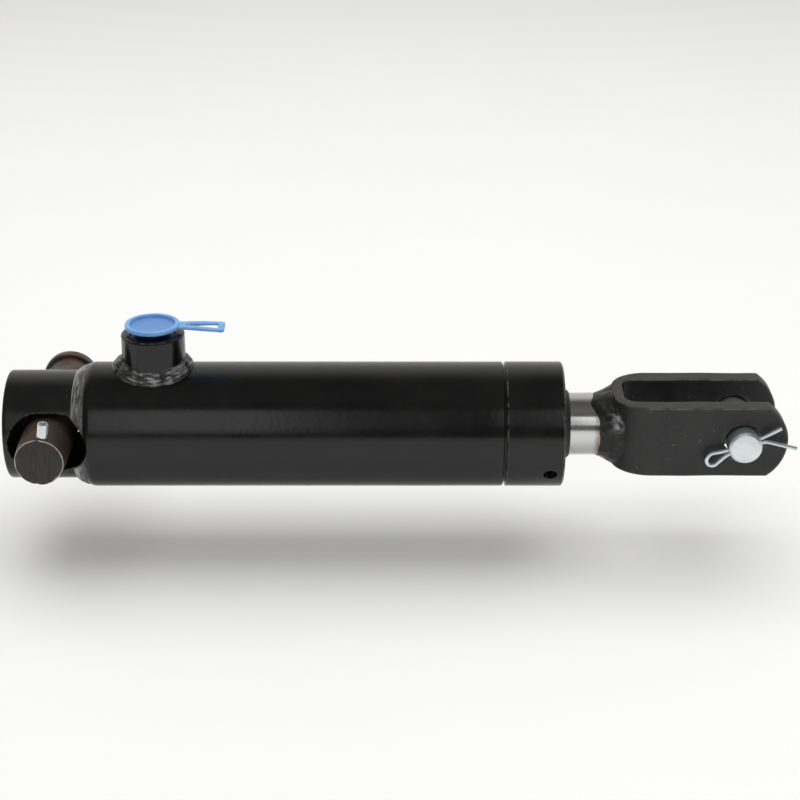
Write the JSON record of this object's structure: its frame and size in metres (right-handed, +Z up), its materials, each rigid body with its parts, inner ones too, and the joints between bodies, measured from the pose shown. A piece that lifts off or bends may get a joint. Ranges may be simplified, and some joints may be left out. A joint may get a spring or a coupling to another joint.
{
  "type": "hydraulic cylinder",
  "caption": "Single-acting welded hydraulic cylinder with a slotted base eye and pin, a top oil port with a pull-out plug, and a rod that ends in a U-shaped clevis.",
  "frame": {"origin": "centre of the base pin, on the cylinder's axis", "axes": "+X along the cylinder's axis from the base eye to the rod clevis, +Z up through the oil port, -Y towards the base pin's roll-pin end; the rod is fully in"},
  "size_m": [0.3738, 0.1041, 0.0822],
  "materials": {
    "black_paint": "gloss black paint over machined steel",
    "clevis_black": "satin black paint over a bent hot-rolled bar",
    "weld_metal": "painted weld, rippled",
    "rod_chrome": "hard chrome, ground",
    "pin_steel": "turned steel, copper-brown tint on its side",
    "zinc_steel": "bright zinc plate",
    "internal_steel": "machined steel",
    "guide_iron": "turned cast iron",
    "bearing_resin": "filled bearing resin",
    "backup_resin": "white backup resin",
    "seal_rubber": "black nitrile rubber",
    "seal_urethane": "polyurethane",
    "cap_plastic": "soft translucent light-blue plastic"
  },
  "bodies": {
    "barrel": {"barrel_tube": "black_paint", "base_cap": "black_paint", "base_weld_bead": "weld_metal", "port_boss": "black_paint", "port_weld_bead": "weld_metal", "gland_head": "black_paint", "gland_wear_ring": "bearing_resin", "rod_seal": "seal_urethane", "rod_wiper": "seal_rubber", "gland_o_ring": "seal_rubber", "gland_backup_ring": "backup_resin"},
    "guide_ring": {"guide_wear_ring": "bearing_resin"},
    "rod": {"piston_rod": "rod_chrome", "rod_guide": "guide_iron", "guide_lock_nut": "internal_steel", "clevis": "clevis_black", "clevis_weld_bead": "weld_metal"},
    "clevis_pin": {"clevis_pin": "zinc_steel", "cotter_pin": "zinc_steel"},
    "base_pin": {"base_pin": "pin_steel"},
    "roll_pin": {"base_roll_pin": "zinc_steel"},
    "port_cap": {"port_cap": "cap_plastic"}
  },
  "joints": [
    {"name": "rod_extend", "type": "slide", "parent": "barrel", "child": "guide_ring", "axis": [1, 0, 0], "range_m": [0, 0.11]},
    {"name": "rod_turn", "type": "hinge", "parent": "guide_ring", "child": "rod", "pos_m": [0.072, 0, 0], "axis": [1, 0, 0], "continuous": true},
    {"name": "clevis_pin_turn", "type": "hinge", "parent": "rod", "child": "clevis_pin", "pos_m": [0.329, 0, 0], "axis": [0, 1, 0], "continuous": true},
    {"name": "base_pin_turn", "type": "hinge", "parent": "barrel", "child": "base_pin", "pos_m": [0, 0, 0], "axis": [0, 1, 0], "continuous": true},
    {"name": "base_roll_pin_drive", "type": "slide", "parent": "base_pin", "child": "roll_pin", "axis": [0.1392, 0, 0.9903], "range_m": [0, 0.03]},
    {"name": "port_cap_pull", "type": "slide", "parent": "barrel", "child": "port_cap", "axis": [0, 0, 1], "range_m": [0, 0.045]}
  ]
}
